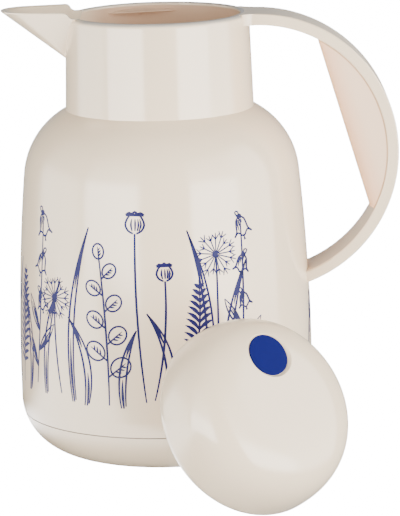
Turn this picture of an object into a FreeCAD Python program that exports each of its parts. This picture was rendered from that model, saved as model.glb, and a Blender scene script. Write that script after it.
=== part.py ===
import FreeCAD, Part
import math
import os
from FreeCAD import Vector

# Glass-lined vacuum jug with a pouring collar, a ring handle, a screw-on base and a stopper taken off.
# Millimetres. Z is up, the handle points to +X, the spout to -X, and the foot stands on Z = 0.

# Outer shell
body_radius = 70.0
wide_height = 38.0
side_sweep = 1000.0
shoulder_radius = 38.2
shell_wall = 2.4
neck_base = 163.5
shoulder_flange = 5.0

# Base cap and its thread
foot_radius = 51.0
foot_ring = 6.0
foot_recess = 1.5
centre_pad = 12.0
flank_radius = 27.0
seam_height = 19.0
seam_groove = 0.9
seam_gap = 0.5
cap_wall = 2.8
spigot_height = 12.0
thread_pitch = 5.0
thread_depth = 1.3
thread_base = 2.0
thread_crest = 1.2
thread_clearance = 0.5
jacket_turns = 1.5
cap_turns = 1.0
thread_lead_in = 3.0
thread_bearing = 45.0

# Neck collar
neck_radius = 44.65
neck_length = 44.5
neck_draft = 1.25
collar_wall = 4.4
rim_rounding = 2.4
lip_rounding = 1.2
throat_clearance = 0.6
throat_wall = 3.0
mouth_flange_radius = 27.0
funnel_slope = 0.3
funnel_wall = 2.8
spigot_wall = 2.5
spigot_inset = 6.5
spigot_drop = 8.0
spigot_bead = 0.6
fit_clearance = 0.15
ridge_drop = 4.2
ridge_height = 3.8
ridge_rise = 2.0
ridge_edge = 0.6
ridge_bearing = 102.5

# Spout
spout_lift = 3.0
spout_reach = 31.0
spout_nose = 15.0
spout_root_width = 20.0
spout_root_inset = 7.0
keel_drop = 20.9
spout_wall = 1.6
nose_wall = 2.8
keel_step = 2.9
lip_edge = 0.6
step_length = 5.0

# Handle
handle_radius = 66.4
handle_offset = 1.35
strap_thickness = 5.4
strap_width = 28.0
strap_edge = 0.8
strap_blend = 6.0
tab_width = 12.0
tab_height = 2.6
tab_depth = 1.8
grip_top_angle = 61.0
grip_bottom_angle = -27.0
grip_top_end = 0.7
grip_bottom_end = 2.3
grip_inset = 0.7
grip_edge = 4.0
grip_gap = 0.05
peg_radius = 2.2
peg_length = 2.8
peg_angles = (32.0, 0.0)
screw_radius = 1.45
screw_head_radius = 2.7
screw_head_height = 1.8
screw_grip = 8.0
screw_seat_depth = 4.6
screw_spacing = 16.0
screw_pad_radius = 4.2
screw_clearance = 0.15

# Glass flask
flask_clearance = 6.1
glass_wall = 1.6
vacuum_gap = 3.6
flask_bottom = 24.0
flask_shoulder_drop = 42.5
flask_shoulder_radius = 33.0
flask_neck_radius = 26.5
flask_neck_fillet = 6.0
flask_neck_gap = 1.2
flask_mouth_rise = 4.5
tip_radius = 4.5
tip_length = 8.0
spacer_radius = 5.0
spacer_angle = 40.0
spacer_clearance = 0.05

# Rubber pieces round the flask
gasket_thickness = 1.5
gasket_skirt = 7.0
gasket_wall = 2.2
gasket_slack = 0.3
cushion_radius = 30.0
cushion_hole = 9.0
cushion_slack = 0.3

# Stopper, built upright with its equator on Z = 0 and laid down afterwards
dome_overhang = 5.5
dome_height = 30.0
dome_squareness = 2.47
crown_flatness = 4.8
dome_wall = 3.0
bowl_depth = 19.2
bowl_edge = 9.0
bowl_lip = 2.4
plug_flange = 2.0
plug_clearance = 0.15
plug_skirt_gap = 2.25
plug_skirt_end = 15.0
plug_cone_end = 27.5
plug_end = 33.5
plug_end_radius = 18.4
plug_wall = 2.2
lug_span = 36.0
lug_reach = 2.2
lug_width = 1.8
lug_play = 0.3
seal_height = 2.8
seal_proud = 3.0
seal_slack = 0.1
floor_thickness = 1.8
floor_ledge = 1.3
core_gap = 0.4
mark_radius = 9.8
mark_thickness = 0.6
mark_edge = 0.2
mark_offset = 20.5
mark_angle = -2.6
mark_depth = 1.8
mark_bevel = 1.6
mark_slack = 0.15

# Where the stopper lies on the table
stopper_spot = (37.0, -118.9)
stopper_heading = 38.6

# Small overlap that joins two shapes into one solid
weld = 0.4

AXIS = Vector(0, 0, 1)
ORIGIN = Vector(0, 0, 0)


def line(start, end):
    """Straight edge between two (radius, height) points."""
    return Part.LineSegment(Vector(start[0], 0, start[1]), Vector(end[0], 0, end[1])).toShape()


def chain(points):
    """Straight edges through a row of (radius, height) points."""
    return [line(a, b) for a, b in zip(points, points[1:])]


def on_circle(centre, radius, angle):
    """Point of a circle in the (radius, height) plane, with the angle in radians."""
    return (centre[0] + radius * math.cos(angle), centre[1] + radius * math.sin(angle))


def arc(centre, radius, start, end):
    """Circular edge from one angle to another, in radians."""
    points = [on_circle(centre, radius, a) for a in (start, (start + end) / 2, end)]
    return Part.Arc(*[Vector(p[0], 0, p[1]) for p in points]).toShape()


def outline_face(edges):
    """Flat face inside a closed row of edges."""
    return Part.Face(Part.Wire(Part.__sortEdges__(edges)))


def turned(edges, angle=360.0):
    """Solid of revolution about the upright axis."""
    solid = Part.Solid(outline_face(edges).revolve(ORIGIN, AXIS, angle).Shells[0])
    if solid.Volume < 0:
        solid.reverse()
    return solid


def turned_box(inner, outer, low, high, angle=360.0):
    """Ring, or part of a ring, of rectangular section."""
    corners = [(inner, low), (outer, low), (outer, high), (inner, high), (inner, low)]
    return turned(chain(corners), angle)


def spun(shape, degrees):
    """Copy of a shape turned about the upright axis."""
    copy = shape.copy()
    copy.rotate(ORIGIN, AXIS, degrees)
    return copy


def meet_circles(first, first_radius, second, second_radius):
    """Lower of the two points where two circles cross."""
    dx, dz = second[0] - first[0], second[1] - first[1]
    span = math.hypot(dx, dz)
    along = (span ** 2 + first_radius ** 2 - second_radius ** 2) / (2 * span)
    across = math.sqrt(first_radius ** 2 - along ** 2)
    foot = (first[0] + along * dx / span, first[1] + along * dz / span)
    options = [(foot[0] - s * across * dz / span, foot[1] + s * across * dx / span) for s in (1, -1)]
    return min(options, key=lambda p: p[1])


def bevelled(shape, size, wanted):
    """Round the edges of a shape that a test picks out."""
    edges = [edge for edge in shape.Edges if wanted(edge)]
    return shape.makeFillet(size, edges)


# Sizes that follow from the driving ones
rim_height = neck_base + neck_length
rim_radius = neck_radius - neck_draft
bore_radius = rim_radius - collar_wall
flank_offset = body_radius - flank_radius
flank_centre = (flank_offset, math.sqrt(flank_radius ** 2 - (foot_radius - flank_offset) ** 2))
flank_start = math.atan2(-flank_centre[1], foot_radius - flank_offset)
seam_angle = math.asin((seam_height - flank_centre[1]) / flank_radius)
seam_radius = on_circle(flank_centre, flank_radius, seam_angle)[0]
gap_height = seam_height - seam_gap
gap_angle = math.asin((gap_height - flank_centre[1]) / flank_radius)
groove_radius = seam_radius - seam_groove
side_centre = (body_radius - side_sweep, wide_height)
shoulder_centre = meet_circles(
    side_centre, side_sweep - shoulder_radius, (neck_radius, neck_base), shoulder_radius)
shoulder_angle = math.atan2(shoulder_centre[1] - side_centre[1], shoulder_centre[0] - side_centre[0])
neck_angle = math.atan2(neck_base - shoulder_centre[1], neck_radius - shoulder_centre[0])

nut_radius = seam_radius - shell_wall
cap_spigot_radius = nut_radius - thread_depth - thread_clearance
floor_top = foot_recess + cap_wall

throat_radius = plug_end_radius + throat_clearance
throat_outer = throat_radius + throat_wall
collar_spigot_radius = neck_radius - spigot_inset
collar_foot_radius = collar_spigot_radius - spigot_wall
jacket_mouth = collar_spigot_radius + fit_clearance

dome_radius = bore_radius + dome_overhang
seated_rise = bowl_depth * math.sqrt(1 - (bore_radius / dome_radius) ** 2)
bowl_edge_radius = dome_radius * math.sqrt(1 - (bowl_edge / bowl_depth) ** 2)
dome_edge_inner = bowl_edge_radius - bowl_lip
plug_skirt_radius = dome_edge_inner - plug_clearance - plug_skirt_gap
seal_inner = plug_end_radius - weld
seal_outer = seal_inner + seal_proud + weld
plug_cone_radius = seal_outer
seal_floor_height = rim_height + seated_rise - plug_cone_end - seal_height - seal_slack
lug_top = -seated_rise - ridge_drop - lug_play

flask_radius = body_radius - shell_wall - flask_clearance
flask_centre_height = flask_bottom + flask_radius
flask_shoulder_height = neck_base - flask_shoulder_drop
flask_mouth = neck_base + flask_mouth_rise
throat_bottom = flask_mouth + gasket_thickness

handle_centre = (neck_radius + handle_offset, rim_height - handle_radius)
strap_inner_radius = handle_radius - strap_thickness


def funnel_height(radius):
    """Height of the collar's sloping floor, which the stopper's seal lands on."""
    return seal_floor_height + (radius - seal_outer) * funnel_slope


def shell_outline():
    """Outer edges of the jacket from its base seam up to the neck."""
    return [
        arc(flank_centre, flank_radius, seam_angle, 0),
        line((body_radius, flank_centre[1]), (body_radius, wide_height)),
        arc(side_centre, side_sweep, 0, shoulder_angle),
        arc(shoulder_centre, shoulder_radius, shoulder_angle, neck_angle),
    ]


def shell_envelope():
    """Jacket filled solid, used to trim what sits against its outside."""
    closing = chain([
        (neck_radius, neck_base), (0, neck_base), (0, seam_height), (seam_radius, seam_height)])
    return turned(shell_outline() + closing)


def collar_envelope():
    """Collar filled solid up to its rim, used to trim the handle's upper end."""
    edges = chain([(rim_radius - rim_rounding, rim_height), (0, rim_height), (0, neck_base)])
    edges += chain([(0, neck_base), (neck_radius, neck_base), (rim_radius, rim_height - rim_rounding)])
    rounding = (rim_radius - rim_rounding, rim_height - rim_rounding)
    edges.append(arc(rounding, rim_rounding, 0, math.pi / 2))
    return turned(edges)


def thread_ridge(root, depth, start, turns):
    """Helical ridge with a trapezoid section; a negative depth points inwards."""
    back = -math.copysign(weld, depth)
    section = [
        Vector(root + back, 0, start - thread_base / 2),
        Vector(root + depth, 0, start - thread_crest / 2),
        Vector(root + depth, 0, start + thread_crest / 2),
        Vector(root + back, 0, start + thread_base / 2),
    ]
    profile = Part.makePolygon(section + section[:1])
    helix = Part.makeHelix(thread_pitch, thread_pitch * turns, root)
    helix.translate(Vector(0, 0, start))
    ridge = Part.Wire(helix.Edges).makePipeShell([profile], True, True)
    ridge = Part.Solid(ridge.Shells[0])
    if ridge.Volume < 0:
        ridge.reverse()
    return spun(ridge, thread_bearing)


def strap_end_angle():
    """Angle on the handle's middle circle where it meets the jacket, found by halving."""
    middle = handle_radius - strap_thickness / 2
    low, high = -math.pi / 2, 0.0
    for _ in range(60):
        angle = (low + high) / 2
        x, z = on_circle(handle_centre, middle, angle)
        side = side_centre[0] + math.sqrt(side_sweep ** 2 - (z - wide_height) ** 2)
        if x < side:
            low = angle
        else:
            high = angle
    return angle


def screw_frames():
    """Point on the jacket's surface and outward direction of each handle screw."""
    angle = strap_end_angle()
    x, z = on_circle(handle_centre, handle_radius - strap_thickness / 2, angle)
    outward = Vector(-math.sin(angle), 0, math.cos(angle))
    return [(Vector(x, side * screw_spacing / 2, z), outward) for side in (-1, 1)]


def make_jacket():
    """Body shell with its shoulder flange, base thread and two screw pads."""
    inner_shoulder = shoulder_radius - shell_wall
    flange_under = neck_base - shoulder_flange
    flange_angle = math.asin((flange_under - shoulder_centre[1]) / inner_shoulder)
    flange_point = on_circle(shoulder_centre, inner_shoulder, flange_angle)
    inner_side = body_radius - shell_wall
    thread_top = seam_height + spigot_height + thread_clearance
    edges = shell_outline()
    edges += chain([
        (neck_radius, neck_base), (jacket_mouth, neck_base), (jacket_mouth, flange_under), flange_point])
    edges.append(arc(shoulder_centre, inner_shoulder, flange_angle, shoulder_angle))
    edges.append(arc(side_centre, side_sweep - shell_wall, shoulder_angle, 0))
    edges += chain([
        (inner_side, wide_height), (inner_side, thread_top), (nut_radius, thread_top),
        (nut_radius, seam_height), (seam_radius, seam_height)])
    shell = turned(edges)
    ridge = thread_ridge(nut_radius, -thread_depth, seam_height + thread_lead_in, jacket_turns)
    shell = shell.fuse(ridge)
    envelope = shell_envelope()
    for point, outward in screw_frames():
        seat = point - outward * screw_seat_depth
        pad = Part.makeCylinder(screw_pad_radius, screw_seat_depth, seat, outward)
        shell = shell.fuse(pad.common(envelope))
        hole_start = point - outward * (2 * screw_seat_depth)
        hole = Part.makeCylinder(
            screw_radius + screw_clearance, 4 * screw_seat_depth, hole_start, outward)
        shell = shell.cut(hole)
    return shell.removeSplitter()


def make_base_cap():
    """Screw-on base with a foot ring, a middle pad, a threaded spigot and a shadow gap at its seam."""
    inner_flank = flank_radius - cap_wall
    spigot_inner = cap_spigot_radius - cap_wall
    spigot_top = seam_height + spigot_height
    floor_angle = -math.asin((flank_centre[1] - floor_top) / inner_flank)
    wall_angle = -math.acos((spigot_inner - flank_offset) / inner_flank)
    foot_inner = foot_radius - foot_ring
    edges = chain([
        (0, floor_top), (0, 0), (centre_pad, 0), (centre_pad, foot_recess), (foot_inner, foot_recess),
        (foot_inner, 0), (foot_radius, 0)])
    edges.append(arc(flank_centre, flank_radius, flank_start, gap_angle))
    edges += chain([
        on_circle(flank_centre, flank_radius, gap_angle), (groove_radius, gap_height),
        (groove_radius, seam_height), (cap_spigot_radius, seam_height), (cap_spigot_radius, spigot_top),
        (spigot_inner, spigot_top), on_circle(flank_centre, inner_flank, wall_angle)])
    edges.append(arc(flank_centre, inner_flank, wall_angle, floor_angle))
    edges.append(line(on_circle(flank_centre, inner_flank, floor_angle), (0, floor_top)))
    cap = turned(edges)
    start = seam_height + thread_lead_in + thread_pitch / 2
    return cap.fuse(thread_ridge(cap_spigot_radius, thread_depth, start, cap_turns)).removeSplitter()


def spout_plan(apex, nose, nose_radius, root_width, level, height):
    """Closed plan curve of the spout at one height, drawn towards the apex below it."""
    root = (apex[0] - 1.0, root_width)
    centre = nose + nose_radius
    reach = math.hypot(root[0] - centre, root[1])
    touch = math.atan2(root[1], root[0] - centre) + math.acos(nose_radius / reach)
    side = (centre + nose_radius * math.cos(touch), nose_radius * math.sin(touch))
    scale = (height - apex[1]) / (level - apex[1])

    def place(x, y):
        return Vector(apex[0] + (x - apex[0]) * scale, y * scale, height)

    corners = [place(root[0], -root[1]), place(root[0], root[1])]
    ends = [place(side[0], side[1]), place(side[0], -side[1])]
    edges = [
        Part.LineSegment(corners[0], corners[1]).toShape(),
        Part.LineSegment(corners[1], ends[0]).toShape(),
        Part.Arc(ends[0], place(nose, 0), ends[1]).toShape(),
        Part.LineSegment(ends[1], corners[0]).toShape(),
    ]
    return Part.Wire(edges)


def spout_cone(apex, nose, nose_radius, root_width, level, top, flare):
    """Solid cone from just above its apex to the lip, where its edge draws in or flares out."""
    low = apex[1] + (level - apex[1]) / 20
    lip = level - lip_edge
    plans = [spout_plan(apex, nose, nose_radius, root_width, level, h) for h in (low, lip)]
    grown = flare * (top - lip) / lip_edge
    plans.append(spout_plan(
        apex, nose - grown, nose_radius + grown, root_width + grown, level, top))
    return Part.makeLoft(plans, True, True)


def rim_step():
    """Cutter that lets the spout's raised lip run down to the rim in an S curve."""
    top = rim_height + spout_lift
    start = -rim_radius - lip_edge
    end = start + step_length
    bend = (step_length ** 2 + spout_lift ** 2) / (4 * spout_lift)
    half_turn = math.atan(spout_lift / step_length)
    upper = (start, top - bend)
    lower = (end, rim_height + bend)
    clear = top + 4 * spout_lift
    edges = [arc(upper, bend, math.pi / 2, math.pi / 2 - 2 * half_turn)]
    edges.append(arc(lower, bend, -math.pi / 2 - 2 * half_turn, -math.pi / 2))
    edges += chain([(end, rim_height), (0, rim_height), (0, clear), (start, clear), (start, top)])
    face = outline_face(edges)
    face.translate(Vector(0, -neck_radius, 0))
    return face.extrude(Vector(0, 2 * neck_radius, 0))


def make_collar():
    """Neck with its spout, sloping floor, throat, bayonet ridges and handle pocket."""
    wall_meet = funnel_height(bore_radius)
    outer_rounding = (rim_radius - rim_rounding, rim_height - rim_rounding)
    inner_rounding = (bore_radius + lip_rounding, rim_height - lip_rounding)
    collar_inner = (jacket_mouth + bore_radius) / 2 - spigot_bead
    shelf = neck_base + collar_wall
    bead_top = neck_base - shoulder_flange - fit_clearance
    foot = neck_base - spigot_drop
    bead_radius = collar_spigot_radius + fit_clearance + spigot_bead
    edges = chain([
        (0.5 * (collar_spigot_radius + neck_radius), neck_base), (neck_radius, neck_base),
        (rim_radius, outer_rounding[1])])
    edges.append(arc(outer_rounding, rim_rounding, 0, math.pi / 2))
    edges.append(line((outer_rounding[0], rim_height), (inner_rounding[0], rim_height)))
    edges.append(arc(inner_rounding, lip_rounding, math.pi / 2, math.pi))
    edges += chain([
        (bore_radius, inner_rounding[1]), (bore_radius, wall_meet),
        (throat_radius, funnel_height(throat_radius)), (throat_radius, throat_bottom),
        (mouth_flange_radius, throat_bottom), (mouth_flange_radius, throat_bottom + throat_wall),
        (throat_outer, throat_bottom + throat_wall),
        (throat_outer, funnel_height(throat_outer) - funnel_wall),
        (collar_inner, funnel_height(collar_inner) - funnel_wall), (collar_inner, shelf),
        (collar_foot_radius, shelf), (collar_foot_radius, foot), (collar_spigot_radius, foot),
        (bead_radius, foot + spigot_bead), (bead_radius, bead_top - spigot_bead),
        (collar_spigot_radius, bead_top), (collar_spigot_radius, neck_base),
        (0.5 * (collar_spigot_radius + neck_radius), neck_base)])
    collar = turned(edges)

    # Spout as a thin cone whose keel runs up to a rounded nose
    level = rim_height + spout_lift
    nose = -rim_radius - spout_reach
    keel_foot = rim_height - keel_drop
    keel_slope = (level - keel_foot) / spout_reach
    apex = (spout_root_inset - rim_radius, keel_foot - spout_root_inset * keel_slope)
    outer = spout_cone(apex, nose, spout_nose, spout_root_width, level, level, -lip_edge)
    chamber = turned(chain([
        (0, funnel_height(0)), (bore_radius, wall_meet), (bore_radius, level + spout_lift),
        (0, level + spout_lift), (0, funnel_height(0))]))
    collar = collar.fuse(outer.cut(chamber))
    inner_nose = nose + nose_wall
    channel_foot = keel_foot + keel_step
    channel_slope = (level - channel_foot) / (-bore_radius - inner_nose)
    inner_apex = (apex[0] + nose_wall, channel_foot - (apex[0] + nose_wall + bore_radius) * channel_slope)
    channel = spout_cone(
        inner_apex, inner_nose, spout_nose - spout_wall, spout_root_width - spout_wall, level,
        level + lip_edge, lip_edge)
    floor = turned(chain([
        (0, keel_foot - bore_radius), (bore_radius, keel_foot - bore_radius), (bore_radius, wall_meet),
        (0, funnel_height(0)), (0, keel_foot - bore_radius)]))
    collar = collar.cut(channel.cut(floor))
    collar = collar.cut(rim_step())

    # Two bayonet ridges inside the mouth
    for bearing in (ridge_bearing, ridge_bearing + 180):
        collar = collar.fuse(spun(bayonet_ridge(), bearing))

    # Pocket for the tab at the handle's upper end
    pocket = tab_block(fit_clearance)
    return collar.cut(pocket).removeSplitter()


def bayonet_ridge():
    """Wedge with a level underside and a straight edge that runs out into the mouth's wall."""
    under = rim_height - ridge_drop
    crest = bore_radius - ridge_height
    wall = bore_radius + weld
    section = outline_face(chain([
        (crest, under), (wall, under), (wall, under + ridge_rise), (crest, under + ridge_edge),
        (crest, under)]))
    section.translate(Vector(0, -wall, 0))
    wedge = section.extrude(Vector(0, 2 * wall, 0))
    return wedge.common(Part.makeCylinder(wall, neck_length, Vector(0, 0, neck_base)))


def tab_block(clearance):
    """Tab that hooks the handle into the collar, or its pocket when grown by a clearance."""
    width = tab_width + 2 * clearance
    height = tab_height + 2 * clearance
    depth = tab_depth + clearance
    middle = rim_height - strap_thickness / 2
    corner = Vector(rim_radius - depth, -width / 2, middle - height / 2)
    return Part.makeBox(depth + collar_wall, width, height, corner)


def strap_profile(inner, outer):
    """Side view of the strap: a short flat run from the neck, then a ring round to the body."""
    end = -math.pi / 2 + 0.25
    centre_x, centre_z = handle_centre
    back = centre_x - collar_wall - handle_offset - strap_blend
    edges = chain([(centre_x, centre_z + inner), (back, centre_z + inner), (back, centre_z + outer)])
    edges.append(line((back, centre_z + outer), (centre_x, centre_z + outer)))
    edges.append(arc(handle_centre, outer, math.pi / 2, end))
    edges.append(line(on_circle(handle_centre, outer, end), on_circle(handle_centre, inner, end)))
    edges.append(arc(handle_centre, inner, end, math.pi / 2))
    return outline_face(edges)


def blend_wings():
    """Two concave corners where the strap spreads into the rim."""
    half = strap_width / 2
    centre_y = half + strap_blend
    centre_x = math.sqrt((rim_radius + strap_blend) ** 2 - centre_y ** 2)
    share = rim_radius / (rim_radius + strap_blend)
    touch = Vector(centre_x * share, centre_y * share, 0)
    middle = (Vector(centre_x, half, 0) + touch) * 0.5 - Vector(centre_x, centre_y, 0)
    middle = Vector(centre_x, centre_y, 0) + middle.normalize() * strap_blend
    inner = Vector(touch.x - collar_wall, half, 0)
    edges = [
        Part.LineSegment(inner, Vector(centre_x, half, 0)).toShape(),
        Part.Arc(Vector(centre_x, half, 0), middle, touch).toShape(),
        Part.LineSegment(touch, inner).toShape(),
    ]
    face = Part.Face(Part.Wire(edges))
    face.translate(Vector(0, 0, rim_height - strap_thickness))
    wing = face.extrude(Vector(0, 0, strap_thickness))
    return [wing, wing.mirror(ORIGIN, Vector(0, 1, 0))]


def make_strap():
    """Ring-shaped handle strap with its tab, peg holes and screw holes."""
    face = strap_profile(strap_inner_radius, handle_radius)
    face.translate(Vector(0, -strap_width / 2, 0))
    strap = face.extrude(Vector(0, strap_width, 0))

    def long_edge(edge):
        ends = [vertex.Point.y for vertex in edge.Vertexes]
        on_side = abs(abs(ends[0]) - strap_width / 2) < 1e-6 and abs(ends[0] - ends[-1]) < 1e-6
        return on_side and edge.Length > 2 * strap_thickness

    strap = bevelled(strap, strap_edge, long_edge)
    for wing in blend_wings():
        strap = strap.fuse(wing)
    strap = strap.cut(collar_envelope()).cut(shell_envelope())
    tab = tab_block(0)
    strap = strap.fuse(tab)
    for point, outward in screw_frames():
        hole_start = point - outward * screw_seat_depth
        strap = strap.cut(Part.makeCylinder(
            screw_radius + spacer_clearance, screw_seat_depth + screw_grip, hole_start, outward))
    for hole in grip_pegs(fit_clearance):
        strap = strap.cut(hole)
    return strap.removeSplitter()


def grip_pegs(clearance):
    """Pegs that hold the grip in the strap, or their holes when grown by a clearance."""
    pegs = []
    for degrees in peg_angles:
        angle = math.radians(degrees)
        outward = Vector(math.cos(angle), 0, math.sin(angle))
        x, z = on_circle(handle_centre, strap_inner_radius - 2 * peg_length, angle)
        pegs.append(Part.makeCylinder(
            peg_radius + clearance, 3 * peg_length + clearance, Vector(x, 0, z), outward))
    return pegs


def make_grip():
    """Filler that fits the strap's inside and gives the hand a straight edge."""
    outer = strap_inner_radius - grip_gap
    top, bottom = math.radians(grip_top_angle), math.radians(grip_bottom_angle)
    chord = [
        on_circle(handle_centre, outer - grip_top_end, top),
        on_circle(handle_centre, outer - grip_bottom_end, bottom)]
    edges = [
        arc(handle_centre, outer, top, bottom),
        line(on_circle(handle_centre, outer, bottom), chord[1]),
        line(chord[1], chord[0]),
        line(chord[0], on_circle(handle_centre, outer, top)),
    ]
    half = strap_width / 2 - grip_inset
    face = outline_face(edges)
    face.translate(Vector(0, -half, 0))
    grip = face.extrude(Vector(0, 2 * half, 0))
    length = math.dist(chord[0], chord[1])

    def finger_edge(edge):
        return edge.Curve.TypeId == "Part::GeomLine" and abs(edge.Length - length) < 1e-6

    grip = bevelled(grip, grip_edge, finger_edge)
    for peg in grip_pegs(0):
        grip = grip.fuse(peg)
    return grip.removeSplitter()


def make_screws():
    """Two screws that hold the handle's lower end from inside the jacket."""
    screws = []
    for point, outward in screw_frames():
        seat = point - outward * screw_seat_depth
        head = Part.makeCylinder(screw_head_radius, screw_head_height, seat, outward * -1)
        reach = screw_seat_depth + screw_grip - screw_clearance
        screws.append(head.fuse(Part.makeCylinder(screw_radius, reach, seat, outward)).removeSplitter())
    return Part.makeCompound(screws)


def bulb_edges(inset, neck, start=-math.pi / 2):
    """One surface of a flask bulb, from its rounded bottom up to its mouth."""
    radius = flask_radius - inset
    shoulder = flask_shoulder_radius - inset
    fillet = flask_neck_fillet + inset
    shoulder_middle = (flask_radius - flask_shoulder_radius, flask_shoulder_height)
    fillet_x = neck + fillet
    rise = math.sqrt((shoulder + fillet) ** 2 - (fillet_x - shoulder_middle[0]) ** 2)
    fillet_middle = (fillet_x, shoulder_middle[1] + rise)
    turn = math.atan2(rise, fillet_x - shoulder_middle[0])
    centre = (0, flask_centre_height)
    edges = [
        arc(centre, radius, start, 0),
        line((radius, flask_centre_height), (radius, flask_shoulder_height)),
        arc(shoulder_middle, shoulder, 0, turn),
        arc(fillet_middle, fillet, turn - math.pi, -math.pi),
        line((neck, fillet_middle[1]), (neck, flask_mouth)),
    ]
    return edges


def bulb_bottom(inset):
    """Lowest point of a bulb surface."""
    return (0, flask_bottom + inset)


def make_outer_bulb():
    """Outer glass with its sealed tip; its neck stops under the rolled mouth."""
    neck = flask_neck_radius
    inner_neck = neck - glass_wall
    tip_angle = -math.acos(tip_radius / flask_radius)
    tip_end = flask_bottom - tip_length
    edges = bulb_edges(0, neck, tip_angle) + bulb_edges(glass_wall, inner_neck)
    edges.append(line((inner_neck, flask_mouth), (neck, flask_mouth)))
    edges += chain([
        bulb_bottom(glass_wall), (0, tip_end), (tip_radius / 3, tip_end),
        on_circle((0, flask_centre_height), flask_radius, tip_angle)])
    rolled = turned_box(inner_neck - weld, neck + weld, flask_mouth - glass_wall, flask_mouth + weld)
    return turned(edges).cut(rolled).removeSplitter()


def make_inner_bulb():
    """Inner glass with the rolled mouth that carries the outer bulb's neck."""
    inset = glass_wall + vacuum_gap
    neck = flask_neck_radius - glass_wall - flask_neck_gap
    inner_neck = neck - glass_wall
    edges = bulb_edges(inset, neck) + bulb_edges(inset + glass_wall, inner_neck)
    edges.append(line((inner_neck, flask_mouth), (neck, flask_mouth)))
    edges.append(line(bulb_bottom(inset), bulb_bottom(inset + glass_wall)))
    mouth = turned_box(inner_neck, flask_neck_radius, flask_mouth - glass_wall, flask_mouth)
    return turned(edges).fuse(mouth).removeSplitter()


def make_spacers():
    """Three pads that keep the two bulbs apart near the bottom."""
    centre = Vector(0, 0, flask_centre_height)
    outer = flask_radius - glass_wall - spacer_clearance
    inner = flask_radius - glass_wall - vacuum_gap + spacer_clearance
    gap = Part.makeSphere(outer, centre).cut(Part.makeSphere(inner, centre))
    tilt = math.radians(spacer_angle)
    direction = Vector(math.sin(tilt), 0, -math.cos(tilt))
    pad = Part.makeCylinder(spacer_radius, flask_radius, centre, direction).common(gap)
    return Part.makeCompound([spun(pad.Solids[0], turn) for turn in (60, 180, 300)])


def make_neck_gasket():
    """Rubber ring between the flask's mouth and the collar's throat."""
    inner = flask_neck_radius - 2 * glass_wall - flask_neck_gap
    skirt = flask_neck_radius + gasket_slack
    outer = skirt + gasket_wall
    return turned(chain([
        (inner, flask_mouth), (inner, throat_bottom), (outer, throat_bottom),
        (outer, flask_mouth - gasket_skirt), (skirt, flask_mouth - gasket_skirt), (skirt, flask_mouth),
        (inner, flask_mouth)]))


def make_cushion():
    """Rubber cup that stands on the base cap and carries the flask."""
    radius = flask_radius + cushion_slack
    centre = (0, flask_centre_height)
    outer_angle = -math.acos(cushion_radius / radius)
    hole_angle = -math.acos(cushion_hole / radius)
    edges = chain([
        on_circle(centre, radius, hole_angle), (cushion_hole, floor_top), (cushion_radius, floor_top),
        on_circle(centre, radius, outer_angle)])
    edges.append(arc(centre, radius, outer_angle, hole_angle))
    return turned(edges)


def dome_curve(radius, height):
    """Crown of the stopper as a rounded oval from its equator up to its flat top."""
    steps = 12
    points = []
    for step in range(steps + 1):
        angle = step * math.pi / 2 / steps
        x = radius * abs(math.cos(angle)) ** (2 / crown_flatness) if step < steps else 0
        points.append(Vector(x, 0, height * math.sin(angle) ** (2 / dome_squareness)))
    curve = Part.BSplineCurve()
    curve.interpolate(Points=points, InitialTangent=Vector(0, 0, 1), FinalTangent=Vector(-1, 0, 0))
    return curve.toShape()


def bowl_curve():
    """Lower side of the stopper's shell, an oval from the equator down to the bowl's edge."""
    turn = math.asin(bowl_edge / bowl_depth)
    points = []
    for step in range(7):
        angle = step * turn / 6
        points.append(Vector(dome_radius * math.cos(angle), 0, -bowl_depth * math.sin(angle)))
    slope = Vector(-dome_radius * math.sin(turn), 0, -bowl_depth * math.cos(turn))
    curve = Part.BSplineCurve()
    curve.interpolate(Points=points, InitialTangent=Vector(0, 0, -1), FinalTangent=slope)
    return curve.toShape()


def mark_frame():
    """Point on the crown under the pour mark, and the outward direction there."""
    share = (mark_offset / dome_radius) ** crown_flatness
    height = dome_height * (1 - share) ** (1 / dome_squareness)
    slope = height / dome_squareness / (1 - share) * crown_flatness * share / mark_offset
    tilt = math.atan(slope)
    point = Vector(mark_offset, 0, height)
    outward = Vector(math.sin(tilt), 0, math.cos(tilt))
    return point, outward


def make_dome():
    """Stopper's shell, with a shallow bevelled dish for the pour mark."""
    inner = dome_radius - dome_wall
    edges = [dome_curve(dome_radius, dome_height), bowl_curve()]
    edges.append(line((bowl_edge_radius, -bowl_edge), (dome_edge_inner, -bowl_edge)))
    edges.append(line((dome_edge_inner, -bowl_edge), (inner, 0)))
    edges.append(dome_curve(inner, dome_height - dome_wall))
    edges.append(line((0, dome_height - dome_wall), (0, dome_height)))
    shell = turned(edges)
    point, outward = mark_frame()
    bottom = mark_radius + mark_slack
    rise = 2 * mark_depth
    dish = Part.makeCone(
        bottom, bottom + mark_bevel * rise / mark_depth, rise, point - outward * mark_depth, outward)
    dish = spun(dish, mark_angle)
    return shell.cut(dish)


def make_mark():
    """Flat inset that fills the dish, with a softened upper edge."""
    point, outward = mark_frame()
    disc = Part.makeCylinder(mark_radius, mark_thickness, point - outward * mark_depth, outward)
    top = point - outward * (mark_depth - mark_thickness)

    def upper_edge(edge):
        return edge.Curve.TypeId == "Part::GeomCircle" and edge.Curve.Center.distanceToPoint(top) < 1e-6

    return spun(bevelled(disc, mark_edge, upper_edge), mark_angle)


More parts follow.
